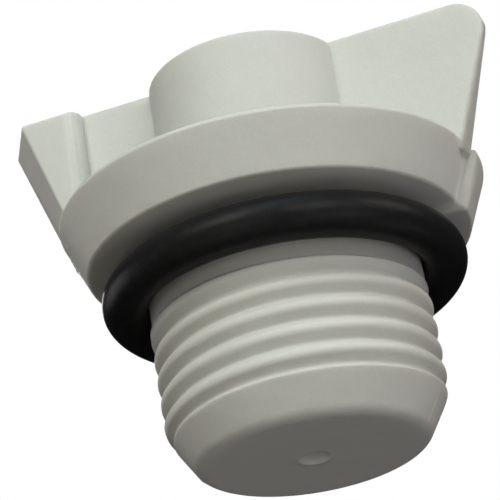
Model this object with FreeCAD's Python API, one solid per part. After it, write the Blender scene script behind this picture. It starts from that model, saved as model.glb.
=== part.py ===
import FreeCAD, Part
import math
import os
from FreeCAD import Vector

# Wing-headed screw plug, moulded in one piece, with a rubber sealing ring on its neck.
# The origin is on the screw axis, in the plane of the flange's underside.
# +Z points up to the head, and the wings lie along X. All sizes are in millimetres.

# Thread, right-handed: the groove's form follows from the pitch
THREAD_RADIUS = 11.9
THREAD_PITCH = 2.0
GROOVE_DEPTH = 0.56 * THREAD_PITCH
CREST_ROUND = 0.17 * THREAD_PITCH
ROOT_ROUND = 0.10 * THREAD_PITCH
CREST_TRIM = 0.015 * THREAD_PITCH
FLANK_ANGLE = 30.0
THREAD_TURNS = 5.35
RUN_OUT_TURN = 0.14
THREAD_END_ANGLE = -50.0
THREAD_END_RISE = 1.75

# Neck, nose and end face
NECK_RELIEF = 0.25
NECK_RADIUS = THREAD_RADIUS - NECK_RELIEF
NECK_LENGTH = 5.85
SHANK_LENGTH = 18.5
NOSE_LENGTH = 3.8
END_FACE_RADIUS = 9.6
END_EDGE_ROUND = 1.4
GATE_MARK_RADIUS = 1.4
GATE_MARK_FLOOR_RADIUS = 0.98
GATE_MARK_DEPTH = 0.22

# Flange: a conical band from two mould halves that met out of line, each a little off the axis
FLANGE_LOW_RADIUS = 16.15
FLANGE_HIGH_RADIUS = 18.2
FLANGE_THICKNESS = 4.9
FLANGE_EDGE_ROUND = 0.35
NEAR_HALF_SHIFT = -0.3
FAR_HALF_SHIFT = 0.3
FAR_HALF_DROP = 0.55

# Hub and wings, in line with the flange's near half: the +X wing has the rounded corner
HUB_RADIUS = 8.65
HEAD_HEIGHT = 17.2
HUB_EDGE_ROUND = 0.4
WING_REACH = 16.8
WING_FLARE_ANGLE = 19.4
WEB_HALF_THICKNESS = 2.2
BLOCK_HALF_THICKNESS = 4.0
BLOCK_SETBACK = 2.0
BLOCK_FLARE_ANGLE = 17.2
BLOCK_SLANT_ANGLE = 27.5
BLOCK_STEP_ROUND = 1.4
WING_CORNER_ROUND = 2.6
WING_EDGE_ROUND = 0.35

# Rubber ring, gripping the neck below the flange
RING_SECTION_RADIUS = 1.93
RING_CLEARANCE = 0.1
RING_DROP = 3.05

# How the groove is swept: points along its path, and how far its ends lift, in groove depths
SPINE_POINTS_PER_TURN = 20
LIFT_CLEAR = 1.2
TOOL_OVERHANG = 0.6

# How deep joined shapes reach into each other, and how edges are told apart
BURIED = 0.5
SHARP_ANGLE = math.radians(40)
SAME_SIZE = 0.001


def polar(radius, angle, height):
    """A point at a radius and an angle in degrees about the screw axis."""
    turn = math.radians(angle)
    return Vector(radius * math.cos(turn), radius * math.sin(turn), height)


def revolved(outline, sweep=360.0, start=0.0):
    """A solid turned about Z from (radius, height) points that begin and end on the axis."""
    points = [polar(radius, start, height) for radius, height in outline]
    face = Part.Face(Part.makePolygon(points + points[:1]))
    return face.revolve(Vector(0, 0, 0), Vector(0, 0, 1), sweep)


def rounded(solid, radius, wanted):
    """The solid with the edges that wanted() picks rounded."""
    edges = [edge for edge in solid.Edges if wanted(edge)]
    return solid.makeFillet(radius, edges)


def is_sharp(edge, solid):
    """Whether the two faces beside an edge meet at an angle there."""
    point = edge.valueAt((edge.FirstParameter + edge.LastParameter) / 2)
    faces = solid.ancestorsOfType(edge, Part.Face)
    normals = [face.normalAt(*face.Surface.parameter(point)) for face in faces]
    return len(normals) == 2 and normals[0].getAngle(normals[1]) > SHARP_ANGLE


def is_circle(edge, radius, height):
    """Whether an edge is an arc of this radius about the axis at this height."""
    curve = edge.Curve
    if not isinstance(curve, Part.Circle):
        return False
    same_radius = abs(curve.Radius - radius) < SAME_SIZE
    return same_radius and abs(curve.Center.z - height) < SAME_SIZE


def shank_blank():
    """Neck, thread cylinder and nose before the groove is cut."""
    nose_top = NOSE_LENGTH - SHANK_LENGTH
    blank = revolved([
        (0, BURIED),
        (NECK_RADIUS, BURIED),
        (NECK_RADIUS, -NECK_LENGTH + NECK_RELIEF),
        (THREAD_RADIUS, -NECK_LENGTH),
        (THREAD_RADIUS, nose_top),
        (END_FACE_RADIUS, -SHANK_LENGTH),
        (0, -SHANK_LENGTH),
    ])
    return rounded(
        blank,
        END_EDGE_ROUND,
        lambda edge: is_circle(edge, END_FACE_RADIUS, -SHANK_LENGTH),
    )


def groove_spine():
    """The groove's path: a helix just above the crests that lifts clear at both of its ends."""
    count = round(THREAD_TURNS * SPINE_POINTS_PER_TURN)
    low = THREAD_END_RISE - SHANK_LENGTH
    points = []
    for index in range(count + 1):
        turn = THREAD_TURNS * index / count
        from_end = min(turn, THREAD_TURNS - turn)
        lift = max(0.0, 1.0 - from_end / RUN_OUT_TURN)
        ease = lift * lift * (3 - 2 * lift)
        radius = THREAD_RADIUS + CREST_TRIM + LIFT_CLEAR * GROOVE_DEPTH * ease
        angle = THREAD_END_ANGLE + 360.0 * turn
        points.append(polar(radius, angle, low + THREAD_PITCH * turn))
    curve = Part.BSplineCurve()
    curve.interpolate(points)
    return Part.Wire(curve.toShape())


def groove_section():
    """The cutter's section at the start of the path, round at the root and the crests."""
    flank = math.radians(FLANK_ANGLE)
    start = groove_spine().Vertexes[0].Point
    out = Vector(start.x, start.y, 0).normalize()

    def at(depth, offset):
        return start - out * depth + Vector(0, 0, offset)

    root_centre = GROOVE_DEPTH - ROOT_ROUND
    root_side = (root_centre + ROOT_ROUND * math.sin(flank), ROOT_ROUND * math.cos(flank))
    half_width = (GROOVE_DEPTH + ROOT_ROUND) * math.tan(flank)
    tangent = CREST_ROUND * math.tan(math.radians(45) - flank / 2)
    crest_start = (tangent * math.cos(flank), half_width - tangent * math.sin(flank))
    crest_end = (0.0, half_width + tangent)
    half_turn = (math.radians(90) - flank) / 2
    crest_middle = (
        CREST_ROUND * (1 - math.cos(half_turn)),
        crest_end[1] - CREST_ROUND * math.sin(half_turn),
    )

    root_start = at(root_side[0], -root_side[1])
    edges = [Part.Arc(root_start, at(GROOVE_DEPTH, 0), at(*root_side)).toShape()]
    for side in (1, -1):
        flank_low = at(root_side[0], side * root_side[1])
        flank_high = at(crest_start[0], side * crest_start[1])
        lip = at(crest_end[0], side * crest_end[1])
        middle = at(crest_middle[0], side * crest_middle[1])
        edges.append(Part.makeLine(flank_low, flank_high))
        edges.append(Part.Arc(flank_high, middle, lip).toShape())
        edges.append(Part.makeLine(lip, at(-TOOL_OVERHANG, side * crest_end[1])))
    corners = [at(-TOOL_OVERHANG, side * crest_end[1]) for side in (-1, 1)]
    edges.append(Part.makeLine(*corners))
    return Part.Wire(Part.__sortEdges__(edges))


def groove_sweep():
    """The groove's section swept along its path."""
    sweep = Part.BRepOffsetAPI.MakePipeShell(groove_spine())
    sweep.setFrenetMode(True)
    sweep.add(groove_section(), False, False)
    sweep.build()
    sweep.makeSolid()
    return sweep.shape()


def thread_groove():
    """What the whole thread groove takes off a plain rod of the thread's size."""
    rod = Part.makeCylinder(THREAD_RADIUS, SHANK_LENGTH, Vector(0, 0, -SHANK_LENGTH))
    return rod.common(groove_sweep())


def gate_mark():
    """The shallow dish that the moulding gate left in the end face."""
    return revolved([
        (0, -SHANK_LENGTH + GATE_MARK_DEPTH),
        (GATE_MARK_FLOOR_RADIUS, -SHANK_LENGTH + GATE_MARK_DEPTH),
        (GATE_MARK_RADIUS, -SHANK_LENGTH),
        (GATE_MARK_RADIUS, -SHANK_LENGTH - BURIED),
        (0, -SHANK_LENGTH - BURIED),
    ])


def shank():
    """The threaded shank with its neck and nose."""
    return shank_blank().cut(thread_groove()).cut(gate_mark())


def flange_half(start, shift, drop):
    """One mould half's part of the conical flange."""
    half = revolved(
        [
            (0, 0),
            (FLANGE_LOW_RADIUS, 0),
            (FLANGE_HIGH_RADIUS, FLANGE_THICKNESS),
            (0, FLANGE_THICKNESS),
        ],
        sweep=180.0,
        start=start,
    )
    half = rounded(
        half,
        FLANGE_EDGE_ROUND,
        lambda edge: is_circle(edge, FLANGE_LOW_RADIUS, 0)
        or is_circle(edge, FLANGE_HIGH_RADIUS, FLANGE_THICKNESS),
    )
    half.translate(Vector(shift, 0, -drop))
    return half


def hub():
    """The round boss between the wings."""
    boss = Part.makeCylinder(HUB_RADIUS, HEAD_HEIGHT)
    return rounded(boss, HUB_EDGE_ROUND, lambda edge: is_circle(edge, HUB_RADIUS, HEAD_HEIGHT))


def wing_flare():
    """How much further a wing reaches at its top than in the plane of the flange's underside."""
    return HEAD_HEIGHT * math.tan(math.radians(WING_FLARE_ANGLE))


def wing_root():
    """The height at which the wings start, buried in both halves of the flange."""
    return FLANGE_THICKNESS - FAR_HALF_DROP - BURIED


def wing_blank_length():
    """A length past the tip of the wing, for the blank that its end is cut from."""
    return WING_REACH + wing_flare() + BURIED


def beyond_end(flare_angle, slant_angle):
    """Everything past a plane through the wing's end that flares upwards and slants in plan."""
    wide = 2 * BLOCK_HALF_THICKNESS
    far = wing_blank_length()
    slant = wide * math.tan(math.radians(slant_angle))
    flare = HEAD_HEIGHT * math.tan(math.radians(flare_angle))
    plan = [(WING_REACH + slant, -wide), (WING_REACH - slant, wide), (far, wide), (far, -wide)]
    corners = [Vector(x, y, 0) for x, y in plan]
    face = Part.Face(Part.makePolygon(corners + corners[:1]))
    return face.extrude(Vector(flare, 0, HEAD_HEIGHT))


def end_corner_trim():
    """What rounding takes off the top corner of a wing's end."""
    lean = math.radians(WING_FLARE_ANGLE)
    height = HEAD_HEIGHT - WING_CORNER_ROUND
    centre = WING_REACH + height * math.tan(lean) - WING_CORNER_ROUND / math.cos(lean)
    low = height - WING_CORNER_ROUND * math.sin(lean)
    wide = 2 * BLOCK_HALF_THICKNESS
    corner = Vector(centre, -wide, low)
    square = Part.makeBox(wing_blank_length() - centre, 2 * wide, HEAD_HEIGHT - low, corner)
    axis = Vector(centre, -wide, height)
    rod = Part.makeCylinder(WING_CORNER_ROUND, 2 * wide, axis, Vector(0, 1, 0))
    return square.cut(rod)


def block_start():
    """How far from the head's own axis a wing's block begins."""
    return WING_REACH - BLOCK_SETBACK


def block_corner_trim():
    """What rounding takes off the upright corner where a block's side turns inwards."""
    root = wing_root()
    height = HEAD_HEIGHT - root
    low = Vector(block_start() - BURIED, BLOCK_HALF_THICKNESS - BLOCK_STEP_ROUND, root)
    size = BLOCK_STEP_ROUND + BURIED
    axis = low + Vector(size, 0, 0)
    square = Part.makeBox(size, size, height, low)
    return square.cut(Part.makeCylinder(BLOCK_STEP_ROUND, height, axis))


def is_wing_edge(edge):
    """Whether an edge of the wing is open to the touch and isn't at its block's inner step."""
    middle = edge.CenterOfMass
    above = max(vertex.Z for vertex in edge.Vertexes) > FLANGE_THICKNESS
    outside = middle.x > HUB_RADIUS and middle.z > wing_root() + BURIED
    at_step = abs(middle.x - block_start()) < BURIED and middle.y > 0
    return above and outside and not at_step


def wing(round_corner):
    """The +X wing: a web with a thick block on the far side of its slanted end."""
    length = wing_blank_length()
    root = wing_root()
    height = HEAD_HEIGHT - root
    web_corner = Vector(0, -WEB_HALF_THICKNESS, root)
    web = Part.makeBox(length, 2 * WEB_HALF_THICKNESS, height, web_corner)
    block_corner = Vector(block_start(), 0, root)
    block = Part.makeBox(length - block_start(), BLOCK_HALF_THICKNESS, height, block_corner)
    blank = web.fuse(block).removeSplitter()
    blank = blank.cut(beyond_end(WING_FLARE_ANGLE, 0.0))
    blank = blank.cut(beyond_end(BLOCK_FLARE_ANGLE, BLOCK_SLANT_ANGLE))
    if round_corner:
        blank = blank.cut(end_corner_trim())
    blank = rounded(
        blank,
        WING_EDGE_ROUND,
        lambda edge: is_wing_edge(edge) and is_sharp(edge, blank),
    )
    return blank.cut(block_corner_trim())


def wings():
    """Both wings: the second is turned half way round the head's axis and has square corners."""
    first = wing(round_corner=True)
    second = wing(round_corner=False)
    second.rotate(Vector(0, 0, 0), Vector(0, 0, 1), 180)
    return [first, second]


def plug_body():
    """The moulded plug as one solid."""
    in_line = [hub(), *wings()]
    for piece in in_line:
        piece.translate(Vector(NEAR_HALF_SHIFT, 0, 0))
    near = flange_half(180.0, NEAR_HALF_SHIFT, 0.0)
    far = flange_half(0.0, FAR_HALF_SHIFT, FAR_HALF_DROP)
    return shank().fuse([near, far, *in_line]).removeSplitter()


def o_ring():
    """The rubber ring round the neck."""
    centre_radius = NECK_RADIUS + RING_CLEARANCE + RING_SECTION_RADIUS
    return Part.makeTorus(centre_radius, RING_SECTION_RADIUS, Vector(0, 0, -RING_DROP))


def main():
    os.makedirs("parts", exist_ok=True)
    for name, shape in (("plug_body", plug_body()), ("o_ring", o_ring())):
        print(name, shape.ShapeType, shape.isValid(), len(shape.Solids), round(shape.Volume, 1))
        shape.exportStep("parts/" + name + ".step")


main()
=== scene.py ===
import math

import bmesh
import bpy
import numpy as np
from mathutils import Matrix, Vector


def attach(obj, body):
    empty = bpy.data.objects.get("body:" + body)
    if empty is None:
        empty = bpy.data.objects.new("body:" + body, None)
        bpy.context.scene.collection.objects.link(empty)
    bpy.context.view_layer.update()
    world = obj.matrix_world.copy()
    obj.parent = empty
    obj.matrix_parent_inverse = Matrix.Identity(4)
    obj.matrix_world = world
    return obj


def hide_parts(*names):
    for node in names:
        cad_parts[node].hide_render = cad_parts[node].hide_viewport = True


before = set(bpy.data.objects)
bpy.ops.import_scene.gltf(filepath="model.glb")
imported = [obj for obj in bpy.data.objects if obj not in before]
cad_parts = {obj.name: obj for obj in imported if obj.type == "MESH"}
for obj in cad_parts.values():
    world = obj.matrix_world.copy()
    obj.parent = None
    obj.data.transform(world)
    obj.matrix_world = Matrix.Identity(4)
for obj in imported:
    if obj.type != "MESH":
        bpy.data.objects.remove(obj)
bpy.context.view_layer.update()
MM = 0.001

# Sizes of the moulding in millimetres, as the solids have them, apart from the thread's form
NECK_RADIUS = 11.65
NECK_LENGTH = 5.85
THREAD_RADIUS = 11.9
THREAD_PITCH = 2.0
THREAD_TURNS = 5.35
THREAD_END_ANGLE = -50.0
THREAD_END_RISE = 1.75
RUN_OUT_TURN = 0.14
RUN_OUT_LIFT = 1.2
FLANK_ANGLE = 40.0
ROOT_ROUND = 0.2
CREST_ROUND = 0.6
NO_GROOVE = THREAD_RADIUS * 2.0
SHANK_LENGTH = 18.5
NOSE_LENGTH = 3.8
NOSE_TOP_ROUND = 0.5
END_FACE_RADIUS = 9.6
END_EDGE_ROUND = 1.4
GATE_MARK_RADIUS = 1.4
GATE_MARK_DEPTH = 0.22

# Lip round the gate's mark: height in mm, place and width in mark radii, high side in degrees
GATE_LIP_HEIGHT = 0.15
GATE_LIP_PLACE = 0.95
GATE_LIP_WIDTH = 0.18
GATE_LIP_HIGH_SIDE = 105.0

# Height at which the solid's head is cut off, and the gap down to the shank's first ring
SEAM_HEIGHT = -0.8
SEAM_GAP = 0.05

# How softly the nose's cone cuts off the thread, and the least blend elsewhere
NOSE_BLEND = 0.4
LEAST_BLEND = 0.01

# How finely the shank is meshed, in millimetres and counts
COLUMNS = 330
ROW_STEP = 0.085
END_ARC_STEPS = 9

# Rings over the end face: counts, and where they end as shares of the gate mark's radius
FACE_RINGS = 12
FACE_RINGS_END = 1.25
MARK_RINGS = 14
MARK_RINGS_START = 1.15
MARK_RINGS_END = 0.06

# The thin ridge that the mould's joint left along the plane Y = 0, and its extra columns
FLASH_HEIGHT = 0.045
FLASH_WIDTH = 0.07
FLASH_STEPS = (0.05, 0.1, 0.17)

# Distance in metres at which two corners of the solid's mesh are one
SAME_PLACE = 1e-7

# Shading: the least angle of a sharp edge in degrees, and how strongly large faces lead
SHARP_ANGLE = 24.0
FLAT_FACE_WEIGHT = 80

# Rubber ring, in millimetres and counts
RING_SECTION_RADIUS = 1.93
RING_CLEARANCE = 0.1
RING_CENTRE_RADIUS = NECK_RADIUS + RING_CLEARANCE + RING_SECTION_RADIUS
RING_DROP = 3.05
RING_UNEVENNESS = 0.012
RING_WAVES = 3
RING_COLUMNS = 256
RING_ROWS = 72

# Camera, from the ellipses in the photo: degrees, millimetres and the 500 x 500 photo's pixels
CAMERA_AZIMUTH = 15.0
CAMERA_ELEVATION = -24.08
CAMERA_ROLL = 9.88
CAMERA_DISTANCE = 212.45
CAMERA_LENS = 180.0
CAMERA_NEAREST = 10.0
FOCAL_PIXELS = 2500.0
IMAGE_MIDDLE = 250.0
ORIGIN_PIXEL = (279.9, 254.35)

# Floor and sky, in metres and colours
FLOOR_HEIGHT = -0.6
FLOOR_SIZE = 6.0
FLOOR_PALE = (0.5, 0.5, 0.495, 1)
FLOOR_GLOW = (0.80, 0.80, 0.795, 1)
FLOOR_DIM = (0.075, 0.068, 0.075, 1)
SKY_LOW = (0.0, 0.0, 0.0, 1)
SKY_HIGH = (0.03, 0.03, 0.03, 1)
SKY_SEEN = (1, 1, 1, 1)
SKY_START = 0.3
SKY_SLOPE = 1.3

# Colours of the plastic: its cloudy range, its flecks and the specks in it
PALE_LOW = (0.610, 0.627, 0.574, 1)
PALE_HIGH = (0.668, 0.682, 0.634, 1)
FLECK = (0.585, 0.597, 0.55, 1)
SPECK = (0.16, 0.145, 0.12, 1)

# Patterns of the plastic: noise scales to the millimetre, and heights in millimetres
CLOUD_SCALE = 0.16
FLECK_SCALE = 2.6
FINE_SCALE = 7.5
GRAIN_SCALE = 5.5
GRAIN_HEIGHT = 0.017
WAVE_SCALE = 0.45
WAVE_HEIGHT = 0.10

# Dark specks trapped in the plastic: place and radius in millimetres, and how solid they are
SPECKS = (
    ((14.9, -10.3, 4.2), 0.13),
    ((-15.2, -9.1, 4.4), 0.12),
    ((-7.2, -8.4, -13.6), 0.14),
)
SPECK_STRENGTH = 1.6

# Colours of the rubber, clean and dusty, and how much of the dust shows
RUBBER = (0.0125, 0.0125, 0.013, 1)
DUSTY_RUBBER = (0.025, 0.025, 0.024, 1)
DUST_SHARE = 0.45

# Patterns of the rubber: noise scales to the millimetre, and heights in millimetres
DUST_SCALE = 1.1
RUBBER_GRAIN_SCALE = 4.0
RUBBER_GRAIN_HEIGHT = 0.02
RUBBER_WAVE_SCALE = 0.5
RUBBER_WAVE_HEIGHT = 0.05

# Soft lamps round the part: name, azimuth and elevation in degrees, power in watts and colour
LAMP_DISTANCE = 0.6
LAMP_SIZE = 0.3
LAMPS = (
    ("key", -16, 33, 1.80, (1.0, 0.96, 0.86)),
    ("front", -5, -14, 0.34, (1.0, 0.97, 0.95)),
    ("overhead", 15, 55, 0.70, (0.55, 0.82, 1.0)),
    ("slant", 40, 20, 1.18, (0.97, 0.98, 1.0)),
    ("right", 90, 30, 0.90, (1.0, 0.89, 0.80)),
    ("behind", 200, 35, 2.2, (1.0, 0.985, 0.95)),
    ("left", -102, 6, 0.45, (0.95, 0.92, 1.0)),
    ("low_right", 58, -24, 0.48, (1.0, 0.94, 0.94)),
    ("low_left", -20, -45, 0.26, (1.0, 0.92, 0.82)),
    ("low_front", 48, -50, 0.14, (0.95, 1.0, 0.95)),
    ("low_rear", 110, -40, 0.22, (0.95, 0.85, 1.0)),
)


class Wire:
    """One output socket of a node tree. Arithmetic on it adds the nodes it needs."""

    def __init__(self, tree, socket=None):
        self.tree = tree
        self.socket = socket

    def node(self, kind, settings=None, inputs=None, output=0):
        """Adds a node: its settings first, then values or wires for its sockets."""
        made = self.tree.nodes.new(kind)
        for key, value in (settings or {}).items():
            setattr(made, key, value)
        for key, value in (inputs or {}).items():
            if isinstance(value, Wire):
                self.tree.links.new(value.socket, made.inputs[key])
            else:
                made.inputs[key].default_value = value
        return Wire(self.tree, made.outputs[output])

    def math(self, operation, *values):
        return self.node("ShaderNodeMath", {"operation": operation}, dict(enumerate(values)))

    def __add__(self, other):
        return self.math("ADD", self, other)

    def __radd__(self, other):
        return self.math("ADD", other, self)

    def __sub__(self, other):
        return self.math("SUBTRACT", self, other)

    def __rsub__(self, other):
        return self.math("SUBTRACT", other, self)

    def __mul__(self, other):
        return self.math("MULTIPLY", self, other)

    def __rmul__(self, other):
        return self.math("MULTIPLY", other, self)

    def __truediv__(self, other):
        return self.math("DIVIDE", self, other)

    def clamped(self):
        return self.node("ShaderNodeClamp", None, {0: self})

    def axis(self, index):
        return self.node("ShaderNodeSeparateXYZ", None, {0: self}, index)

    def mix(self, low, high):
        """A colour between two, by this wire as the factor."""
        return self.node("ShaderNodeMix", {"data_type": "RGBA"}, {0: self, 6: low, 7: high}, 2)


def new_material(name):
    """An empty material, its shader and a wire of object coordinates in millimetres."""
    material = bpy.data.materials.new(name)
    material.use_nodes = True
    tree = material.node_tree
    shader = tree.nodes["Principled BSDF"]
    place = Wire(tree).node("ShaderNodeTexCoord", output="Object")
    scaled = place.node(
        "ShaderNodeVectorMath", {"operation": "SCALE"}, {0: place, "Scale": 1 / MM}
    )
    return material, shader, scaled


def join(wire, shader, name):
    """Links a wire to a named socket of a shader or other node."""
    wire.tree.links.new(wire.socket, shader.inputs[name])


def noise(place, scale, detail=2.0, roughness=0.5):
    """Soft random values from 0 to 1, fixed to the piece's own coordinates."""
    return place.node(
        "ShaderNodeTexNoise",
        None,
        {"Vector": place, "Scale": scale, "Detail": detail, "Roughness": roughness},
    )


def bumped(height, distance):
    """A normal from a height, whose unit is the distance in metres."""
    return height.node(
        "ShaderNodeBump", None, {"Strength": 1.0, "Distance": distance, "Height": height}
    )


def speck_mask(place):
    """1 on the specks and 0 elsewhere."""
    total = None
    for centre, radius in SPECKS:
        away = place.node(
            "ShaderNodeVectorMath", {"operation": "DISTANCE"}, {0: place, 1: centre}, 1
        )
        spot = (1 - away / radius).clamped()
        total = spot if total is None else total + spot
    return total


def plug_plastic():
    """Off-white moulded plastic: matt, faintly cloudy, with a fine grain left by the mould."""
    material, shader, place = new_material("plug_plastic")
    cloud = noise(place, CLOUD_SCALE, 3.0)
    fleck = noise(place, FLECK_SCALE, 2.0, 0.6)
    pale = cloud.mix(PALE_LOW, PALE_HIGH)
    fine = noise(place, FINE_SCALE, 1.0, 0.5)
    toned = (fleck * 0.6 + fine * 1.1 - 0.35).clamped().mix(pale, FLECK)
    coloured = (speck_mask(place) * SPECK_STRENGTH).clamped().mix(toned, SPECK)
    join(coloured, shader, "Base Color")
    grain = noise(place, GRAIN_SCALE, 3.0, 0.65)
    wave = noise(place, WAVE_SCALE, 1.0)
    join(grain * 0.16 + 0.46, shader, "Roughness")
    height = grain * GRAIN_HEIGHT + wave * WAVE_HEIGHT
    join(bumped(height, MM), shader, "Normal")
    shader.inputs["Specular IOR Level"].default_value = 0.42
    shader.inputs["Subsurface Weight"].default_value = 0.45
    shader.inputs["Subsurface Radius"].default_value = (1.0, 0.92, 0.8)
    shader.inputs["Subsurface Scale"].default_value = 0.0014
    return material


def ring_rubber():
    """Black rubber with a soft sheen and the faint dust that it picks up."""
    material, shader, place = new_material("ring_rubber")
    dust = (noise(place, DUST_SCALE, 4.0, 0.7) * 2.4 - 1.05).clamped()
    coloured = (dust * DUST_SHARE).mix(RUBBER, DUSTY_RUBBER)
    join(coloured, shader, "Base Color")
    grain = noise(place, RUBBER_GRAIN_SCALE, 3.0, 0.6)
    wave = noise(place, RUBBER_WAVE_SCALE, 1.0)
    join(grain * 0.14 + dust * 0.12 + 0.25, shader, "Roughness")
    height = grain * RUBBER_GRAIN_HEIGHT + wave * RUBBER_WAVE_HEIGHT
    join(bumped(height, MM), shader, "Normal")
    shader.inputs["Specular IOR Level"].default_value = 0.09
    return material


def floor_paper():
    """Pale floor: near white to the camera, and dim to the light that it throws back up."""
    material, shader, place = new_material("floor_paper")
    shader.inputs["Base Color"].default_value = FLOOR_PALE
    shader.inputs["Roughness"].default_value = 0.8
    shader.inputs["Specular IOR Level"].default_value = 0.1
    shader.inputs["Emission Color"].default_value = FLOOR_GLOW
    shader.inputs["Emission Strength"].default_value = 1.0
    seen = place.node("ShaderNodeLightPath", output="Is Camera Ray")
    dim = place.node("ShaderNodeBsdfDiffuse", None, {"Color": FLOOR_DIM})
    pale = Wire(place.tree, shader.outputs[0])
    mixed = place.node("ShaderNodeMixShader", None, {0: seen, 1: dim, 2: pale})
    join(mixed, place.tree.nodes["Material Output"], "Surface")
    return material


def softer_min(first, second, blend):
    """The lower of two arrays, rounded off where they cross."""
    share = np.clip(0.5 + 0.5 * (second - first) / blend, 0, 1)
    return second * (1 - share) + first * share - blend * share * (1 - share)


def blank_radius(height):
    """The shank's radius at a height before the thread: neck, shoulder, body and nose."""
    shoulder = THREAD_RADIUS - NECK_RADIUS
    nose_top = NOSE_LENGTH - SHANK_LENGTH
    slope = (THREAD_RADIUS - END_FACE_RADIUS) / NOSE_LENGTH
    body = NECK_RADIUS + np.clip(-height - NECK_LENGTH + shoulder, 0, shoulder)
    nose = THREAD_RADIUS - (nose_top - height) * slope
    return softer_min(body, nose, NOSE_TOP_ROUND)


def thread_depth():
    """Depth of the thread: what its round crests and roots leave of the sharp form."""
    sharp = THREAD_PITCH / 2 / math.tan(math.radians(FLANK_ANGLE))
    over = 1 / math.sin(math.radians(FLANK_ANGLE)) - 1
    return sharp - (ROOT_ROUND + CREST_ROUND) * over


def thread_form(offset):
    """The thread's radius at a height above a groove's middle: a root arc, a flank, a crest arc."""
    flank = math.radians(FLANK_ANGLE)
    away = np.abs(offset)
    root_centre = THREAD_RADIUS - thread_depth() + ROOT_ROUND
    crest_centre = THREAD_RADIUS - CREST_ROUND
    to_crest = np.clip(THREAD_PITCH / 2 - away, 0, None)
    on_root = root_centre - np.sqrt(np.clip(ROOT_ROUND ** 2 - away ** 2, 0, None))
    on_flank = root_centre - ROOT_ROUND / math.sin(flank) + away / math.tan(flank)
    on_crest = crest_centre + np.sqrt(np.clip(CREST_ROUND ** 2 - to_crest ** 2, 0, None))
    above_root = np.where(to_crest < CREST_ROUND * math.cos(flank), on_crest, on_flank)
    return np.where(away < ROOT_ROUND * math.cos(flank), on_root, above_root)


def thread_radius(angle, height):
    """The groove's radius at an angle in degrees and a height, large where there is no groove."""
    low = THREAD_END_RISE - SHANK_LENGTH
    nearest = np.full(np.shape(height), NO_GROOVE)
    around = (angle - THREAD_END_ANGLE) % 360 / 360
    for lap in range(math.ceil(THREAD_TURNS) + 1):
        turn = around + lap
        inside = turn <= THREAD_TURNS
        from_end = np.minimum(turn, THREAD_TURNS - turn)
        lift = np.clip(1 - from_end / RUN_OUT_TURN, 0, 1)
        ease = lift * lift * (3 - 2 * lift) * thread_depth() * RUN_OUT_LIFT
        groove = thread_form(height - low - THREAD_PITCH * turn) + ease
        nearest = np.where(inside, np.minimum(nearest, groove), nearest)
    return nearest


def flash_height(angle, radius):
    """The mould joint's ridge, along both sides of the plane Y = 0."""
    off = np.sin(np.radians(angle)) * radius
    return FLASH_HEIGHT * np.exp(-((off / FLASH_WIDTH) ** 2))


def column_angles():
    """Angles of the shank's columns in degrees, closer together beside the mould joint."""
    even = np.linspace(-180, 180, COLUMNS, endpoint=False)
    close = np.degrees(np.array(FLASH_STEPS) / THREAD_RADIUS)
    extra = [side + step * sign for side in (-180, 0) for step in close for sign in (1, -1)]
    angles = np.concatenate([even, np.array(extra)])
    return np.sort((angles + 180) % 360 - 180)


def end_arc():
    """The rounded edge between nose and end face, as (radius, height) from top to bottom."""
    slope = math.atan2(THREAD_RADIUS - END_FACE_RADIUS, NOSE_LENGTH)
    reach = END_EDGE_ROUND * math.tan((math.radians(90) - slope) / 2)
    centre_radius = END_FACE_RADIUS - reach
    centre_height = -SHANK_LENGTH + END_EDGE_ROUND
    arc = []
    for turn in np.linspace(-slope, -math.radians(90), END_ARC_STEPS):
        radius = centre_radius + END_EDGE_ROUND * math.cos(turn)
        arc.append((radius, centre_height + END_EDGE_ROUND * math.sin(turn)))
    return arc


def shank_rings():
    """Rings of points down the shank, then inwards over the end face, in millimetres."""
    angles = column_angles()
    rings = []
    arc = end_arc()
    heights = np.arange(SEAM_HEIGHT - SEAM_GAP, arc[0][1] + ROW_STEP / 2, -ROW_STEP)
    for height in heights:
        level = np.full(angles.shape, height)
        blank = blank_radius(level)
        blend = np.clip((THREAD_RADIUS - blank) * NOSE_BLEND, LEAST_BLEND, NOSE_BLEND)
        radius = softer_min(blank, thread_radius(angles, level), blend)
        radius = radius + flash_height(angles, radius)
        rings.append((radius, level))
    for radius, height in arc:
        flashed = radius + flash_height(angles, radius)
        rings.append((flashed, np.full(angles.shape, height)))
    edge = arc[-1][0]
    for radius in np.linspace(edge, GATE_MARK_RADIUS * FACE_RINGS_END, FACE_RINGS)[1:]:
        rings.append((np.full(angles.shape, radius), np.full(angles.shape, -SHANK_LENGTH)))
    for share in np.linspace(MARK_RINGS_START, MARK_RINGS_END, MARK_RINGS):
        level = -SHANK_LENGTH + gate_height(share, angles)
        rings.append((np.full(angles.shape, share * GATE_MARK_RADIUS), level))
    return angles, rings


def gate_height(share, angles):
    """Height of the gate's scar above the end face: a shallow dish with a broken lip."""
    dish = GATE_MARK_DEPTH * max(0.0, 1 - share ** 4)
    lip = -GATE_LIP_HEIGHT * math.exp(-((share - GATE_LIP_PLACE) / GATE_LIP_WIDTH) ** 2)
    broken = 0.5 + 0.5 * np.cos(np.radians(angles - GATE_LIP_HIGH_SIDE))
    return dish + lip * broken


def head_mesh():
    """The moulding's head above the seam, taken from the CAD solid, with its open ring."""
    mesh = bmesh.new()
    mesh.from_mesh(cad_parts["plug_body"].data)
    bmesh.ops.remove_doubles(mesh, verts=mesh.verts, dist=SAME_PLACE)
    everything = [*mesh.verts, *mesh.edges, *mesh.faces]
    bmesh.ops.bisect_plane(
        mesh,
        geom=everything,
        plane_co=(0, 0, SEAM_HEIGHT * MM),
        plane_no=(0, 0, 1),
        clear_inner=True,
    )
    return mesh


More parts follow.
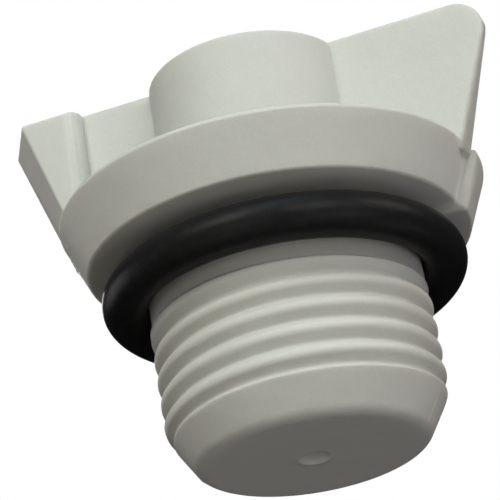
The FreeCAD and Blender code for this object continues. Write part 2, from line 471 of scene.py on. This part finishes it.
def plug_moulding():
    """The whole plug as one closed mesh: the head with a finely modelled shank joined on."""
    mesh = head_mesh()
    angles, rings = shank_rings()
    top_edges = [edge for edge in mesh.edges if edge.is_boundary]
    cosines = np.cos(np.radians(angles))
    sines = np.sin(np.radians(angles))
    previous = None
    count = len(angles)
    for radius, level in rings:
        places = np.stack([radius * cosines, radius * sines, level], axis=1) * MM
        ring = [mesh.verts.new(place) for place in places]
        if previous:
            for index in range(count):
                after = (index + 1) % count
                mesh.faces.new((ring[index], ring[after], previous[after], previous[index]))
        else:
            first = ring
        previous = ring
    middle = mesh.verts.new((0, 0, (-SHANK_LENGTH + GATE_MARK_DEPTH) * MM))
    for index in range(count):
        mesh.faces.new((middle, previous[(index + 1) % count], previous[index]))
    mesh.edges.ensure_lookup_table()
    loop = [mesh.edges.get((first[i], first[(i + 1) % count])) for i in range(count)]
    bmesh.ops.bridge_loops(mesh, edges=top_edges + loop)
    bmesh.ops.recalc_face_normals(mesh, faces=mesh.faces)
    return finished(mesh, "plug_moulding")


def finished(mesh, name):
    """Turns a bmesh into an object with smooth shading that breaks at real corners."""
    data = bpy.data.meshes.new(name)
    mesh.to_mesh(data)
    mesh.free()
    data.shade_smooth()
    data.set_sharp_from_angle(angle=math.radians(SHARP_ANGLE))
    made = bpy.data.objects.new(name, data)
    bpy.context.scene.collection.objects.link(made)
    weighted = made.modifiers.new("weighted_normals", "WEIGHTED_NORMAL")
    weighted.keep_sharp = True
    weighted.weight = FLAT_FACE_WEIGHT
    return made


def ring_piece():
    """The rubber ring, a little thinner in some places than in others."""
    mesh = bmesh.new()
    rows = []
    for column in range(RING_COLUMNS):
        turn = 2 * math.pi * column / RING_COLUMNS
        row = []
        for step in range(RING_ROWS):
            around = 2 * math.pi * step / RING_ROWS
            wave = math.sin(RING_WAVES * turn + around)
            radius = RING_SECTION_RADIUS - RING_UNEVENNESS * (1 + wave)
            out = RING_CENTRE_RADIUS + radius * math.cos(around)
            height = -RING_DROP + radius * math.sin(around)
            place = (out * math.cos(turn) * MM, out * math.sin(turn) * MM, height * MM)
            row.append(mesh.verts.new(place))
        rows.append(row)
    for column in range(RING_COLUMNS):
        beside = rows[(column + 1) % RING_COLUMNS]
        row = rows[column]
        for step in range(RING_ROWS):
            after = (step + 1) % RING_ROWS
            mesh.faces.new((row[step], beside[step], beside[after], row[after]))
    bmesh.ops.recalc_face_normals(mesh, faces=mesh.faces)
    return finished(mesh, "sealing_ring")


def place_camera():
    """The photo's camera: from below and to the right, rolled, with a long lens."""
    turn = math.radians(CAMERA_AZIMUTH)
    rise = math.radians(CAMERA_ELEVATION)
    back = Vector((
        math.sin(turn) * math.cos(rise),
        -math.cos(turn) * math.cos(rise),
        math.sin(rise),
    ))
    right = Vector((math.cos(turn), math.sin(turn), 0))
    up = back.cross(right)
    roll = Matrix.Rotation(math.radians(-CAMERA_ROLL), 3, back)
    right = roll @ right
    up = roll @ up
    distance = CAMERA_DISTANCE * MM
    place = back * distance
    aside = (ORIGIN_PIXEL[0] - IMAGE_MIDDLE) / FOCAL_PIXELS * distance
    below = (ORIGIN_PIXEL[1] - IMAGE_MIDDLE) / FOCAL_PIXELS * distance
    target = -right * aside + up * below
    back = (place - target).normalized()
    right = (right - back * right.dot(back)).normalized()
    up = back.cross(right)
    data = bpy.data.cameras.new("camera")
    data.lens = CAMERA_LENS
    data.clip_start = CAMERA_NEAREST * MM
    camera = bpy.data.objects.new("camera", data)
    bpy.context.scene.collection.objects.link(camera)
    camera.matrix_world = Matrix.Translation(place) @ Matrix(
        (right, up, back)
    ).transposed().to_4x4()
    bpy.context.scene.camera = camera


def area_light(name, azimuth, elevation, power, colour):
    """A square lamp that faces the part from an azimuth and an elevation in degrees."""
    data = bpy.data.lights.new(name, "AREA")
    data.size = LAMP_SIZE
    data.energy = power
    data.color = colour
    lamp = bpy.data.objects.new(name, data)
    turn = math.radians(azimuth)
    rise = math.radians(elevation)
    away = Vector((
        math.sin(turn) * math.cos(rise),
        -math.cos(turn) * math.cos(rise),
        math.sin(rise),
    ))
    lamp.location = away * LAMP_DISTANCE
    lamp.rotation_euler = away.to_track_quat("Z", "Y").to_euler()
    bpy.context.scene.collection.objects.link(lamp)


def studio_world():
    """A faint sky, a little brighter above, that is white to the camera."""
    world = bpy.data.worlds.new("studio")
    bpy.context.scene.world = world
    world.use_nodes = True
    tree = world.node_tree
    height = Wire(tree).node("ShaderNodeTexCoord", output="Generated").axis(2)
    glow = (height * SKY_SLOPE + SKY_START).clamped().mix(SKY_LOW, SKY_HIGH)
    seen = height.node("ShaderNodeLightPath", output="Is Camera Ray")
    join(seen.mix(glow, SKY_SEEN), tree.nodes["Background"], "Color")


def floor_sheet():
    """The plain floor, far below the part because the photo looks up at it."""
    half = FLOOR_SIZE / 2
    mesh = bmesh.new()
    corners = [(-half, -half), (half, -half), (half, half), (-half, half)]
    mesh.faces.new([mesh.verts.new((x, y, FLOOR_HEIGHT)) for x, y in corners])
    sheet = finished(mesh, "floor")
    sheet.data.materials.append(floor_paper())


def dress(piece, material, node):
    """Gives a piece its material, hangs it under the root body and hides the CAD node it stands
    for.
    """
    piece.data.materials.clear()
    piece.data.materials.append(material)
    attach(piece, "root")
    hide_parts(node)


def main():
    place_camera()
    studio_world()
    for lamp in LAMPS:
        area_light(*lamp)
    floor_sheet()
    dress(plug_moulding(), plug_plastic(), "plug_body")
    dress(ring_piece(), ring_rubber(), "o_ring")
    bpy.context.scene.view_settings.view_transform = "Standard"


main()
